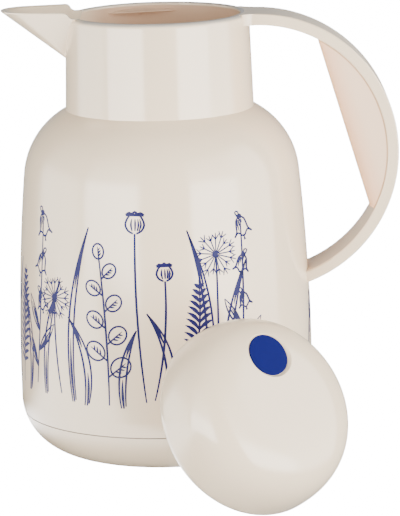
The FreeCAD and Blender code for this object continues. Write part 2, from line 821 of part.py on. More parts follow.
def make_plug():
    """Hollow plug under the dome, with two bayonet lugs and a groove for its seal."""
    flange_radius = dome_edge_inner - plug_clearance
    flange_top = plug_flange - bowl_edge
    inner_skirt = plug_skirt_radius - plug_wall
    inner_end = seal_inner - plug_wall
    seal_low = -plug_cone_end - seal_height - seal_slack
    floor_seat = floor_thickness - plug_end
    plug = turned(chain([
        (inner_skirt, flange_top), (flange_radius, flange_top), (flange_radius, -bowl_edge),
        (plug_skirt_radius, -bowl_edge), (plug_skirt_radius, -plug_skirt_end),
        (plug_cone_radius, -plug_cone_end), (seal_inner, -plug_cone_end), (seal_inner, seal_low),
        (plug_end_radius, seal_low), (plug_end_radius, -plug_end),
        (inner_end, -plug_end), (inner_end, floor_seat), (inner_end - floor_ledge, floor_seat),
        (inner_end - floor_ledge, -plug_cone_end), (inner_skirt, -plug_skirt_end),
        (inner_skirt, flange_top)]))
    lug = turned_box(
        plug_skirt_radius - weld, plug_skirt_radius + lug_reach, lug_top - lug_width, lug_top, lug_span)
    for bearing in (0, 180):
        plug = plug.fuse(spun(lug, bearing - lug_span / 2))
    return plug.removeSplitter()


def make_seal():
    """Silicone ring in the plug's groove."""
    top = -plug_cone_end - seal_slack / 2
    ring = turned_box(seal_inner + seal_slack / 2, seal_outer, top - seal_height, top)
    return bevelled(ring, seal_height / 4, lambda edge: abs(edge.BoundBox.XMax - seal_outer) < 1e-6)


def make_plug_floor():
    """Disc that closes the plug's lower end."""
    return Part.makeCylinder(
        seal_inner - plug_wall - seal_slack, floor_thickness, Vector(0, 0, -plug_end))


def make_core():
    """Foam that fills the stopper's shell above the plug."""
    radius = dome_radius - dome_wall - core_gap
    low = plug_flange - bowl_edge
    lean = (dome_radius - dome_wall - dome_edge_inner) / bowl_edge
    low_radius = radius + low * lean
    edges = [dome_curve(radius, dome_height - dome_wall - core_gap)]
    edges += chain([
        (radius, 0), (low_radius, low), (0, low), (0, dome_height - dome_wall - core_gap)])
    return turned(edges)


def lying_tilt():
    """Angle at which the stopper lies still, on its bowl and on the lug below."""
    seal_low = -plug_cone_end - seal_height
    corners = [
        (plug_skirt_radius + lug_reach, lug_top - lug_width), (plug_skirt_radius, -plug_skirt_end),
        (plug_cone_radius, -plug_cone_end), (seal_outer, seal_low), (plug_end_radius, -plug_end)]

    def lift(radius, height, angle):
        return height * math.sin(angle) - radius * math.cos(angle)

    low, high = 0.0, math.pi / 2
    for _ in range(60):
        angle = (low + high) / 2
        if min(lift(r, h, angle) for r, h in corners) > -bowl_support(angle):
            low = angle
        else:
            high = angle
    return low


def bowl_support(angle):
    """Height of the stopper's middle above the table when it leans by an angle."""
    steepest = math.atan2(bowl_depth * math.sin(angle), dome_radius * math.cos(angle))
    touch = min(steepest, math.asin(bowl_edge / bowl_depth))
    radius, height = dome_radius * math.cos(touch), -bowl_depth * math.sin(touch)
    return radius * math.cos(angle) - height * math.sin(angle)


def laid_down():
    """Placement of the stopper on the table in front of the jug."""
    tilt = lying_tilt()
    heading = math.radians(stopper_heading)
    axis = Vector(
        math.cos(tilt) * math.sin(heading), -math.cos(tilt) * math.cos(heading), math.sin(tilt))
    side = AXIS.cross(axis).normalize()
    up = axis.cross(side)
    across = axis.cross(up)
    middle = Vector(stopper_spot[0], stopper_spot[1], bowl_support(tilt))
    return FreeCAD.Placement(FreeCAD.Matrix(
        up.x, across.x, axis.x, middle.x,
        up.y, across.y, axis.y, middle.y,
        up.z, across.z, axis.z, middle.z,
        0, 0, 0, 1))


def main():
    jug = {
        "outer_jacket": make_jacket(),
        "base_cap": make_base_cap(),
        "neck_collar": make_collar(),
        "handle_strap": make_strap(),
        "handle_grip": make_grip(),
        "handle_screws": make_screws(),
        "flask_outer_bulb": make_outer_bulb(),
        "flask_inner_bulb": make_inner_bulb(),
        "flask_spacers": make_spacers(),
        "neck_gasket": make_neck_gasket(),
        "base_cushion": make_cushion(),
    }
    stopper = {
        "stopper_dome": make_dome(),
        "stopper_plug": make_plug(),
        "stopper_core": make_core(),
        "stopper_seal": make_seal(),
        "plug_floor": make_plug_floor(),
        "pour_mark": make_mark(),
    }
    placement = laid_down()
    for shape in stopper.values():
        shape.Placement = placement.multiply(shape.Placement)
    os.makedirs("parts", exist_ok=True)
    for name, shape in {**jug, **stopper}.items():
        print(f"{name}: {len(shape.Solids)} solid, valid {shape.isValid()}, {shape.Volume / 1000:.2f} cm3")
        shape.exportStep(f"parts/{name}.step")


main()
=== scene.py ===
"""Looks of a glass-lined vacuum jug: shell, stopper, flask, printed meadow and studio."""

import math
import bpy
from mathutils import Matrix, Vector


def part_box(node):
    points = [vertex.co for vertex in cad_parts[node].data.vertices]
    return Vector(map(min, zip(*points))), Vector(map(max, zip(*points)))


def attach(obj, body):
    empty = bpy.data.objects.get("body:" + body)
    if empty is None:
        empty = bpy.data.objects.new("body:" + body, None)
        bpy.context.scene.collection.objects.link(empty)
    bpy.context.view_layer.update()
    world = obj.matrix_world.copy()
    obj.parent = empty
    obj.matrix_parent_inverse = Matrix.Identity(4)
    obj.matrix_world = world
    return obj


bl_info = {
    "name": "Vacuum Jug",
    "version": (1, 0, 0),
    "blender": (4, 5, 0),
    "location": "3D View > Sidebar > Jug",
    "description": "Finishes a vacuum jug, prints a meadow on it and sets up a studio",
    "category": "Object",
}

import bpy
from bpy.props import FloatProperty, FloatVectorProperty, PointerProperty
from bpy.types import Operator, Panel, PropertyGroup
from mathutils import Matrix, Vector
from mathutils.bvhtree import BVHTree

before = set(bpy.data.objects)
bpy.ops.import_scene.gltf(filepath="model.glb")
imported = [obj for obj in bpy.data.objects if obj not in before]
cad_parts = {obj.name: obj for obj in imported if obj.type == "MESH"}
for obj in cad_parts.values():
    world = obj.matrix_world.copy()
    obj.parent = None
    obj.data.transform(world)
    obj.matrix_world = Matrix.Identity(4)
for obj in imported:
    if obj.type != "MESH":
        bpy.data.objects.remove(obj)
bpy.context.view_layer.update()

MM = 0.001

# Directions, and what counts in a distance from an upright axis or from one along Y
X_AXIS = (1, 0, 0)
Y_AXIS = (0, 1, 0)
Z_AXIS = (0, 0, 1)
DOWNWARD = (0, 0, -1)
ROUND_Z = (1, 1, 0)
ROUND_Y = (1, 0, 1)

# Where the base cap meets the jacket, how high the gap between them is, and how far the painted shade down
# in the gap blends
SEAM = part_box("outer_jacket")[0].z
SEAM_GAP = 0.0005
SEAM_SHADE_BLEND = 0.00002

# Painted shade inside the neck ends at its wall and below its rim, and fades in along X from the spout
INSIDE_SHADE_RADIUS = 0.0396
INSIDE_SHADE_TOP = 0.2069
INSIDE_SHADE_BLEND = 0.0006
INSIDE_SHADE_FADE = (-0.041, -0.024)

# Painted shade on the neck's lip covers what faces up above a height, from one slope to another, and
# fades in along X from the spout
LIP_FOOT = 0.2
LIP_BLEND = 0.001
LIP_SLOPE = (0.3, 0.8)
LIP_FADE = (-0.039, -0.033)

# The grip's straight finger edge and its round joint with the strap, which both get painted shade
FINGER_EDGE = (0.0756, 0, 0.195)
FINGER_EDGE_INWARD = (0.956, 0, 0.292)
FINGER_EDGE_DEPTH = 0.010
HANDLE_CENTRE = (0.046, 0, 0.1416)
GRIP_RADIUS = 0.0607
GRIP_JOINT_BLEND = 0.0004

# Colours of what is inside the jug and the stopper, and of the table
SILVER = (0.82, 0.84, 0.85)
FIBRE = (0.50, 0.45, 0.35)
STEEL = (0.45, 0.45, 0.46)
FOAM = (0.82, 0.80, 0.74)
SILICONE = (0.72, 0.72, 0.68)
PAPER = (0.9, 0.9, 0.9)


# Settings


def colour_property(name, description, default):
    """Colour setting with a swatch."""
    return FloatVectorProperty(
        name=name, description=description, subtype="COLOR", size=3, min=0, max=1, default=default)


class JugSettings(PropertyGroup):
    """Colours and sizes that a user may change."""

    ivory: colour_property("Ivory", "Colour of the shell", (0.86, 0.685, 0.475))
    warm: colour_property("Warm ivory", "Colour of the grip and the plug", (0.89, 0.63, 0.43))
    # Painted shade on the neck's up-facing lip
    lip_shade: colour_property("Lip", "Colour of the neck's rounded lip", (0.50, 0.445, 0.375))
    # Painted warm shade along the grip's finger edge, as of light bounced off the jug
    edge: colour_property("Grip edge", "Colour along the grip's finger edge", (0.88, 0.525, 0.315))
    # Painted shade along the grip's joint with the strap
    joint: colour_property("Grip joint", "Colour along the grip's joint with the strap", (0.60, 0.33, 0.17))
    # Painted shade down in the base seam's gap
    seam: colour_property("Seam", "Colour down in the base seam", (0.27, 0.185, 0.12))
    # Painted shade inside the neck, warmed as by light bounced inside it
    inside_shade: colour_property("Inside shade", "Colour of the neck's inside", (0.64, 0.425, 0.275))
    ink: colour_property("Ink", "Colour of the print", (0.011, 0.010, 0.075))
    mark: colour_property("Mark", "Colour of the pour mark", (0.004, 0.006, 0.085))
    rubber: colour_property("Rubber", "Colour of the gasket and the cushion", (0.03, 0.03, 0.032))
    gloss: FloatProperty(
        name="Roughness", description="Roughness of the shell", default=0.15, min=0, max=1,
        subtype="FACTOR")
    line: FloatProperty(
        name="Line width", description="Width of the printed lines", default=0.00095, unit="LENGTH")
    ink_height: FloatProperty(
        name="Ink height", description="How far the print stands on the shell", default=0.00006,
        unit="LENGTH")
    panel_power: FloatProperty(
        name="Panel power", description="Power that the light panels share out", default=57.0, min=0,
        unit="POWER")


def settings():
    """Settings of the scene that is open."""
    return bpy.context.scene.jug_settings


# Materials

NOISE_DETAIL = 3.0
ROUGHNESS_DRIFT = 0.15
GRAIN_SCALE = 900.0
GRAIN_DEPTH = 0.0002


def shader_of(material):
    """Surface shader of a material."""
    return material.node_tree.nodes["Principled BSDF"]


def object_place(material):
    """Place on the object, from a material's own coordinate node."""
    return material.node_tree.nodes["Texture Coordinate"].outputs["Object"]


def vector_step(owner, operation, first, second=(0, 0, 0)):
    """Vector calculation on a socket and a constant, for a material, a light or a world."""
    step = owner.node_tree.nodes.new("ShaderNodeVectorMath")
    step.operation = operation
    owner.node_tree.links.new(first, step.inputs[0])
    step.inputs[1].default_value = second
    return step.outputs["Value" if operation in {"LENGTH", "DOT_PRODUCT"} else "Vector"]


def distance_along(owner, place, direction):
    """How far a place lies along a direction."""
    return vector_step(owner, "DOT_PRODUCT", place, direction)


def distance_from(owner, place, ways):
    """How far a place lies from an axis; ways has a 1 for each direction that counts."""
    return vector_step(owner, "LENGTH", vector_step(owner, "MULTIPLY", place, ways))


def share_of(owner, value, start, end, results=(0.0, 1.0), shape="SMOOTHSTEP"):
    """How far a value has gone from a start to an end, as 0 to 1 or between two other results."""
    share = owner.node_tree.nodes.new("ShaderNodeMapRange")
    share.interpolation_type = shape
    for name, number in zip(("From Min", "From Max", "To Min", "To Max"), (start, end, *results)):
        share.inputs[name].default_value = number
    owner.node_tree.links.new(value, share.inputs["Value"])
    return share.outputs["Result"]


def product(owner, first, second):
    """Two values multiplied."""
    both = owner.node_tree.nodes.new("ShaderNodeMath")
    both.operation = "MULTIPLY"
    owner.node_tree.links.new(first, both.inputs[0])
    owner.node_tree.links.new(second, both.inputs[1])
    return both.outputs["Value"]


def varied(name, colour, roughness, spread=0.02, scale=14.0, grain=0.0):
    """Material whose colour and roughness drift a little over the surface, with an optional fine grain."""
    material = bpy.data.materials.new(name)
    material.use_nodes = True
    shader = shader_of(material)
    nodes, links = material.node_tree.nodes, material.node_tree.links
    place = nodes.new("ShaderNodeTexCoord").outputs["Object"]
    noise = nodes.new("ShaderNodeTexNoise")
    noise.inputs["Scale"].default_value = scale
    noise.inputs["Detail"].default_value = NOISE_DETAIL
    links.new(place, noise.inputs["Vector"])
    mix = nodes.new("ShaderNodeMix")
    mix.data_type = "RGBA"
    mix.inputs["A"].default_value = [c * (1 - spread) for c in colour] + [1]
    mix.inputs["B"].default_value = [min(1, c * (1 + spread)) for c in colour] + [1]
    links.new(noise.outputs["Fac"], mix.inputs["Factor"])
    links.new(mix.outputs["Result"], shader.inputs["Base Color"])
    smoothest, roughest = roughness * (1 - ROUGHNESS_DRIFT), roughness * (1 + ROUGHNESS_DRIFT)
    drift = share_of(material, noise.outputs["Fac"], 0.0, 1.0, (smoothest, roughest), "LINEAR")
    links.new(drift, shader.inputs["Roughness"])
    if grain:
        fine = nodes.new("ShaderNodeTexNoise")
        fine.inputs["Scale"].default_value = GRAIN_SCALE
        links.new(place, fine.inputs["Vector"])
        bump = nodes.new("ShaderNodeBump")
        bump.inputs["Strength"].default_value = grain
        bump.inputs["Distance"].default_value = GRAIN_DEPTH
        links.new(fine.outputs["Fac"], bump.inputs["Height"])
        links.new(bump.outputs["Normal"], shader.inputs["Normal"])
    return material


def shiny(material, level):
    """Weaker or stronger reflections for a material."""
    shader_of(material).inputs["Specular IOR Level"].default_value = level
    return material


def metallic(material, share):
    """Make a material a metal by a share."""
    shader_of(material).inputs["Metallic"].default_value = share
    return material


def ivory_plastic(name):
    """Glossy ivory plastic of the shell and the stopper."""
    s = settings()
    return shiny(varied(name, s.ivory, s.gloss, spread=0.012), level=0.75)


def tinted(material, colour, *shares):
    """Mix another colour into a material's own, by the product of some shares."""
    share = shares[0]
    for other in shares[1:]:
        share = product(material, share, other)
    nodes, links = material.node_tree.nodes, material.node_tree.links
    base_colour = shader_of(material).inputs["Base Color"]
    mix = nodes.new("ShaderNodeMix")
    mix.data_type = "RGBA"
    links.new(share, mix.inputs["Factor"])
    links.new(base_colour.links[0].from_socket, mix.inputs["A"])
    mix.inputs["B"].default_value = (*colour, 1)
    links.new(mix.outputs["Result"], base_colour)
    return material


def inside_shaded(material, colour):
    """Painted shade on the neck's inside, which fades out towards the spout."""
    place = object_place(material)
    reach = distance_from(material, place, ROUND_Z)
    height = distance_along(material, place, Z_AXIS)
    inside = share_of(material, reach, INSIDE_SHADE_RADIUS + INSIDE_SHADE_BLEND, INSIDE_SHADE_RADIUS - INSIDE_SHADE_BLEND)
    below = share_of(material, height, INSIDE_SHADE_TOP + INSIDE_SHADE_BLEND, INSIDE_SHADE_TOP - INSIDE_SHADE_BLEND)
    side = share_of(material, distance_along(material, place, X_AXIS), *INSIDE_SHADE_FADE)
    return tinted(material, colour, inside, below, side)


def lip_shaded(material, colour):
    """Painted shade on the neck's up-facing lip, which fades out towards the spout."""
    place = object_place(material)
    normal = material.node_tree.nodes.new("ShaderNodeNewGeometry").outputs["Normal"]
    upward = share_of(material, distance_along(material, normal, Z_AXIS), *LIP_SLOPE)
    height = distance_along(material, place, Z_AXIS)
    above = share_of(material, height, LIP_FOOT - LIP_BLEND, LIP_FOOT)
    side = share_of(material, distance_along(material, place, X_AXIS), *LIP_FADE)
    return tinted(material, colour, upward, above, side)


def edged(material, colour, point, direction, depth):
    """Other colour that fades away from a plane through a point, along a direction."""
    away = distance_along(material, object_place(material), direction)
    plane = Vector(point).dot(direction)
    return tinted(material, colour, share_of(material, away, plane + depth, plane))


def joint_shaded(material, colour):
    """Painted shade along the grip's round joint with the strap."""
    arm = vector_step(material, "SUBTRACT", object_place(material), HANDLE_CENTRE)
    reach = distance_from(material, arm, ROUND_Y)
    return tinted(material, colour, share_of(material, reach, GRIP_RADIUS - GRIP_JOINT_BLEND, GRIP_RADIUS))


def finish(material, *names):
    """Give CAD nodes a material."""
    for name in names:
        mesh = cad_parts[name].data
        mesh.materials.clear()
        mesh.materials.append(material)


class JUG_OT_shell(Operator):
    """Finish the jacket, base, neck and handle in glossy ivory plastic"""

    bl_idname = "jug.shell"
    bl_label = "Shell"

    def execute(self, context):
        s = settings()
        finish(ivory_plastic("ivory"), "handle_strap")
        # The jacket's foot and the base cap's rim get painted shade down in the seam's gap; the cap's
        # spigot above it stays plain ivory
        jacket_foot = (0, 0, SEAM + SEAM_SHADE_BLEND)
        jacket = edged(ivory_plastic("jacket_ivory"), s.seam, jacket_foot, Z_AXIS, SEAM_SHADE_BLEND)
        finish(jacket, "outer_jacket")
        base_rim = (0, 0, SEAM - SEAM_GAP)
        base = edged(ivory_plastic("base_ivory"), s.seam, base_rim, DOWNWARD, 3 * SEAM_SHADE_BLEND)
        spigot_foot = (0, 0, SEAM - 2 * SEAM_SHADE_BLEND)
        finish(edged(base, s.ivory, spigot_foot, DOWNWARD, SEAM_SHADE_BLEND), "base_cap")
        # The neck gets painted shade on its up-facing lip and inside it
        finish(inside_shaded(lip_shaded(ivory_plastic("neck_ivory"), s.lip_shade), s.inside_shade), "neck_collar")
        grip = varied("warm_ivory", s.warm, s.gloss * 2, spread=0.015)
        # Painted warm shade along the grip's finger edge, as of light bounced off the jug
        grip = edged(grip, s.edge, FINGER_EDGE, FINGER_EDGE_INWARD, FINGER_EDGE_DEPTH)
        # Painted shade along the grip's joint with the strap
        finish(joint_shaded(grip, s.joint), "handle_grip")
        return {"FINISHED"}


class JUG_OT_inside(Operator):
    """Finish the flask, its rubber and the screws"""

    bl_idname = "jug.inside"
    bl_label = "Flask and rubber"

    def execute(self, context):
        s = settings()
        glass = metallic(varied("silvered_glass", SILVER, roughness=0.06, spread=0.03), share=0.9)
        finish(glass, "flask_inner_bulb", "flask_outer_bulb")
        fibre = varied("fibre", FIBRE, roughness=0.8, spread=0.1, scale=300, grain=0.3)
        finish(fibre, "flask_spacers")
        rubber = varied("rubber", s.rubber, roughness=0.6, spread=0.15, scale=60, grain=0.15)
        finish(rubber, "neck_gasket", "base_cushion")
        steel = metallic(varied("steel", STEEL, roughness=0.3, spread=0.05, scale=200), share=1.0)
        finish(steel, "handle_screws")
        return {"FINISHED"}


class JUG_OT_stopper(Operator):
    """Finish the loose stopper and its pour mark"""

    bl_idname = "jug.stopper"
    bl_label = "Stopper"

    def execute(self, context):
        s = settings()
        finish(ivory_plastic("stopper_ivory"), "stopper_dome")
        finish(varied("plug_ivory", s.warm, roughness=0.3, spread=0.02), "stopper_plug", "plug_floor")
        finish(varied("foam", FOAM, roughness=0.9, spread=0.04, scale=200, grain=0.4), "stopper_core")
        finish(varied("silicone", SILICONE, roughness=0.45, spread=0.04, scale=80), "stopper_seal")
        mark = varied("mark_blue", s.mark, roughness=0.45, spread=0.08, scale=40)
        finish(shiny(mark, level=0.05), "pour_mark")
        return {"FINISHED"}


# Drawing. Points are (across, height) in millimetres on the unrolled shell, and a stroke is a list of
# points with its widths at the start, middle and end, between which it swells by PEN_SWELL. A line whose
# ends are as near as CLOSED is a loop, and points are cast on the shell from OUTSIDE, in metres.

WRAP_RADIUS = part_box("outer_jacket")[1].x / MM
PEN_SWELL = 1.5
CLOSED = 1e-6
OUTSIDE = 0.2


def turn(direction, degrees):
    """Direction turned on the page."""
    a = math.radians(degrees)
    x, z = direction
    return (x * math.cos(a) - z * math.sin(a), x * math.sin(a) + z * math.cos(a))


def go(point, direction, distance, aside=0.0):
    """Point reached from another along a direction, and to its left."""
    return (point[0] + direction[0] * distance - direction[1] * aside,
            point[1] + direction[1] * distance + direction[0] * aside)


def bow(start, end, bend, count=14):
    """Points of an arched line; bend is how far its middle is pushed to the left of the way."""
    dx, dz = end[0] - start[0], end[1] - start[1]
    length = math.hypot(dx, dz)
    middle = go(((start[0] + end[0]) / 2, (start[1] + end[1]) / 2), (dx / length, dz / length), 0, 2 * bend)
    points = []
    for i in range(count + 1):
        t = i / count
        weights = ((1 - t) ** 2, 2 * t * (1 - t), t * t)
        points.append(tuple(
            weights[0] * start[k] + weights[1] * middle[k] + weights[2] * end[k] for k in (0, 1)))
    return points


def along(points, share):
    """Point and direction at a share of a line's way."""
    place = share * (len(points) - 1)
    i = min(int(place), len(points) - 2)
    a, b = points[i], points[i + 1]
    f = place - i
    length = math.hypot(b[0] - a[0], b[1] - a[1])
    return ((a[0] + (b[0] - a[0]) * f, a[1] + (b[1] - a[1]) * f),
            ((b[0] - a[0]) / length, (b[1] - a[1]) / length))


def oval(centre, direction, long_half, short_half, count=22):
    """Closed oval outline whose long way follows a direction."""
    points = []
    for i in range(count + 1):
        a = 2 * math.pi * i / count
        points.append(go(centre, direction, long_half * math.cos(a), short_half * math.sin(a)))
    return points


class Sketch:
    """Collects pen strokes; widths are shares of the printed line's width."""

    def __init__(self):
        self.strokes = []

    def pen(self, points, start=1.0, middle=None, end=None):
        """Add a stroke; widths that are left out follow its start."""
        middle = start if middle is None else middle
        self.strokes.append((points, (start, middle, start if end is None else end)))

    def leaf(self, base, direction, length, width, bend=0.0):
        """Pointed leaf in outline, with one half shaded by strokes along its rib."""
        tip = go(base, direction, length, bend)
        self.pen(bow(base, tip, width / 2 + bend / 4), 0.7, 1.0, 0.4)
        self.pen(bow(base, tip, -width / 2 + bend / 4), 0.7, 1.0, 0.4)
        self.pen(bow(base, tip, bend / 4)[:12], 0.9, 1.1, 0.3)
        self.pen(bow(base, tip, -width / 4 + bend / 4)[:10], 0.6, 0.9, 0.3)

    def blade(self, base, lean, height, width, bend):
        """Blade of grass with two edges that meet at the tip and a shaded fold."""
        tip = (base[0] + lean, base[1] + height)
        foot = (base[0] + width * 0.55, base[1] + 1)
        self.pen(bow(base, tip, bend), 0.7, 1.2, 0.5)
        self.pen(bow(foot, tip, bend - width * 0.55), 0.7, 1.1, 0.5)
        fold = bow(go(base, (1, 0), width * 0.3), tip, bend - width * 0.25)
        self.pen(fold[:6], 0.8, 1.5, 0.3)
        self.pen(fold[9:], 0.4, 1.8, 0.7)

    def fern(self, base, lean, height, reach, pairs=14):
        """Frond with tapering leaflets in pairs."""
        spine = bow(base, (base[0] + lean, base[1] + height), -lean * 0.35, 24)
        self.pen(spine, 0.7, 1.1, 0.5)
        for i in range(pairs):
            share = 0.18 + 0.8 * i / pairs
            point, way = along(spine, share)
            size = reach * math.sin(math.pi * (0.24 + 0.72 * (share - 0.18) / 0.82)) ** 0.8
            for side in (1, -1):
                tip = go(point, turn(way, side * (66 - 22 * share)), size)
                self.pen(bow(point, tip, -side * size * 0.1, 6), 0.6, 2.0, 0.3)

    def clock(self, base, lean, height, radius, rays=17):
        """Seed head of fine rays with tufted ends."""
        head = (base[0] + lean, base[1] + height)
        self.pen(bow(base, head, -lean * 0.3), 0.7, 1.1, 0.9)
        self.pen(oval(head, (1, 0), 0.9, 0.8, 10), 1.9)
        for i in range(rays):
            out = turn((1, 0), 360 * i / rays + 4)
            size = radius * (0.92 + 0.12 * math.sin(i * 2.4))
            elbow = go(head, out, size * 0.7)
            self.pen([go(head, out, 1.4), elbow], 0.6)
            for spread in (-38, 0, 38):
                self.pen([elbow, go(elbow, turn(out, spread), size * 0.3)], 0.7, 0.6, 0.4)

    def bell(self, neck, direction, size):
        """Hanging bell flower with pointed lobes and a shaded side."""
        self.pen(oval(go(neck, direction, size * 0.04), direction, size * 0.07, size * 0.09, 10), 1.5)
        shape = [(0.08, 0.10), (0.22, 0.26), (0.5, 0.33), (0.78, 0.38), (1.0, 0.58)]
        rim = [(1.0, 0.58), (0.84, 0.30), (1.1, 0.0), (0.84, -0.30), (1.0, -0.58)]
        for side in (1, -1):
            self.pen([go(neck, direction, a * size, side * b * size) for a, b in shape], 0.9, 1.0, 0.8)
        for aside, reach in ((-0.22, 0.78), (-0.12, 0.55), (0.06, 0.4)):
            shade = (0.2, reach / 2, reach)
            self.pen([go(neck, direction, a * size, aside * size) for a in shade], 0.9, 0.8, 0.3)
        self.pen([go(neck, direction, a * size, b * size) for a, b in rim], 0.9)
        self.pen([go(neck, direction, 1.0 * size), go(neck, direction, 1.3 * size)], 0.7, 0.7, 1.4)

    def harebell(self, base, lean, height, size, flowers=3):
        """Wiry stem whose side stalks carry nodding bells."""
        spine = bow(base, (base[0] + lean, base[1] + height), -lean * 0.3, 20)
        self.pen(spine, 0.7, 1.1, 0.8)
        for i in range(flowers):
            point, way = along(spine, 1.0 - 0.24 * i)
            side = 1 if i % 2 == 0 else -1
            elbow = go(point, turn(way, side * 35), size * 0.55)
            drop = go(elbow, (side * 0.5, -0.35), size * 0.5)
            self.pen([point, elbow, go(elbow, (side * 0.45, 0.1), size * 0.4), drop], 0.9, 0.8, 0.8)
            self.bell(drop, turn((0, -1), side * 14), size * (1 - 0.12 * i))
        for share, side in ((0.1, 1), (0.2, -1), (0.32, 1)):
            point, way = along(spine, share)
            self.leaf(point, turn(way, side * 30), height * 0.24, height * 0.045, side * 1.5)

    def pod(self, base, lean, height, size):
        """Seed pod with a scalloped lid and ribs."""
        foot = (base[0] + lean, base[1] + height)
        spine = bow(base, foot, -lean * 0.35, 16)
        self.pen(spine, 0.7, 1.2, 1.0)
        way = along(spine, 1.0)[1]
        wall = [(0, 0.10), (0.16, 0.40), (0.5, 0.58), (0.86, 0.46), (1.06, 0.30)]
        for side in (1, -1):
            self.pen([go(foot, way, a * size, side * b * size) for a, b in wall], 0.9, 1.1, 0.9)
        for share in (-0.66, -0.4, -0.05, 0.4):
            self.pen([go(foot, way, a * size, share * b * size) for a, b in wall[1:4]], 0.6, 1.0, 0.3)
        lid = [(1.06, -0.56), (1.2, -0.36), (1.14, -0.18), (1.26, 0.0), (1.14, 0.18), (1.2, 0.36),
               (1.06, 0.56)]
        self.pen([go(foot, way, a * size, b * size) for a, b in lid], 1.2)
        self.pen([go(foot, way, 1.08 * size, -0.56 * size), go(foot, way, 1.08 * size, 0.56 * size)], 1.4)

    def sprig(self, base, lean, height, size, leaves=8):
        """Stem with round leaves on short stalks, each shaded on one half."""
        spine = bow(base, (base[0] + lean, base[1] + height), lean * 0.3, 20)
        self.pen(spine, 0.7, 1.2, 0.8)
        for i in range(leaves):
            share = 0.2 + 0.8 * i / (leaves - 1)
            point, way = along(spine, share)
            side = 0 if i == leaves - 1 else (1 if i % 2 else -1)
            out = turn(way, side * 52)
            leaf = size * (1.05 - 0.4 * share)
            stalk = go(point, out, leaf * 0.4)
            self.pen([point, stalk], 1.0)
            self.pen(oval(go(stalk, out, leaf * 0.8), out, leaf * 0.8, leaf * 0.66), 0.95)
            self.pen([stalk, go(stalk, out, leaf * 1.3)], 0.9, 0.8, 0.3)
            for start, reach in ((0.3, 0.45), (0.6, 0.45), (0.9, 0.36)):
                root = go(stalk, out, leaf * start)
                self.pen([root, go(root, turn(out, -48), leaf * reach)], 0.9, 0.9, 0.4)

    def reed(self, base, lean, height, size):
        """Reed mace with a dark hatched head."""
        spine = bow(base, (base[0] + lean, base[1] + height), -lean * 0.3, 20)
        self.pen(spine, 0.7, 1.2, 0.6)
        point, way = along(spine, 0.82)
        self.pen(oval(point, way, size, size * 0.2), 1.0)
        for i in range(7):
            self.pen([go(point, way, size * (0.25 * i - 0.9), -size * 0.14),
                      go(point, way, size * (0.25 * i - 0.65), size * 0.14)], 1.0)


# The planting plan: what grows where, as kind, place across, foot height, lean, height and size, and
# for a blade its bend
FRONT = (
    ("reed", -108, 37, -3, 87, 9.0), ("blade", -101, 35, 8, 61, 4.0, 3), ("fern", -91, 36, 4, 57, 8.5),
    ("blade", -82, 34, -6, 49, 4.0, -4), ("harebell", -73, 39, 5, 79, 10.5),
    ("blade", -66, 35, 12, 55, 3.8, 5), ("clock", -54, 37, -4, 45, 10.5),
    ("blade", -47, 34, 10, 83, 3.6, 6), ("blade", -40, 33, -9, 41, 4.2, -4),
    ("sprig", -27, 34, -4, 67, 6.8), ("blade", -21, 33, 8, 37, 4.0, 4), ("pod", -9, 36, -4, 79, 8.0),
    ("pod", -5, 37, 6, 56, 6.6), ("blade", 0, 35, -8, 43, 4.0, -4), ("fern", 10, 38, 7, 55, 8.5),
    ("blade", 19, 38, -7, 78, 3.8, -4), ("clock", 25, 42, 1, 62, 11.0),
    ("blade", 29, 42, 13, 58, 3.8, 5), ("harebell", 37, 44, 3, 74, 9.0),
)
SIDES = (
    ("blade", 93, 29, 6, 40, 4.0, 3), ("clock", 101, 30, 2, 38, 8.0),
    ("blade", 112, 28, -5, 42, 4.0, -3), ("pod", 122, 31, 4, 44, 6.6), ("fern", 136, 29, 8, 74, 9.0),
    ("blade", 147, 28, -9, 60, 4.0, -5), ("harebell", 158, 31, -5, 82, 9.5),
    ("blade", 167, 29, 8, 50, 4.0, 4), ("reed", 177, 30, 4, 88, 9.0), ("sprig", 189, 28, -7, 66, 6.6),
    ("blade", 200, 29, 5, 54, 4.0, 3), ("blade", 238, 28, -8, 58, 4.0, -4),
    ("clock", 248, 31, 5, 72, 10.5), ("fern", 262, 29, -8, 66, 8.6), ("pod", 275, 30, 6, 80, 7.6),
    ("blade", 284, 28, 10, 64, 4.0, 5), ("sprig", 297, 29, 5, 72, 6.6),
    ("blade", 308, 28, -6, 50, 4.0, -3), ("harebell", 320, 32, 4, 70, 9.0),
)


def draw_meadow(plan):
    """Strokes of every plant in a planting plan."""
    sketch = Sketch()
    for kind, across, foot, lean, height, size, *bend in plan:
        getattr(sketch, kind)((across, foot), lean, height, size, *bend)
    return sketch.strokes


def resample(points, step=1.1):
    """Points of a smooth line through given ones, about one step apart."""
    before = [2 * points[0][k] - points[1][k] for k in (0, 1)]
    after = [2 * points[-1][k] - points[-2][k] for k in (0, 1)]
    if math.dist(points[0], points[-1]) < CLOSED:
        before, after = points[-2], points[1]
    row = [before, *points, after]
    result = []
    for a, b, c, d in zip(row, row[1:], row[2:], row[3:]):
        pieces = max(1, round(math.dist(b, c) / step))
        for i in range(pieces):
            t = i / pieces
            result.append(tuple(
                0.5 * (2 * b[k] + (c[k] - a[k]) * t + (2 * a[k] - 5 * b[k] + 4 * c[k] - d[k]) * t * t
                       + (3 * b[k] - a[k] - 3 * c[k] + d[k]) * t ** 3) for k in (0, 1)))
    result.append(tuple(points[-1]))
    return result


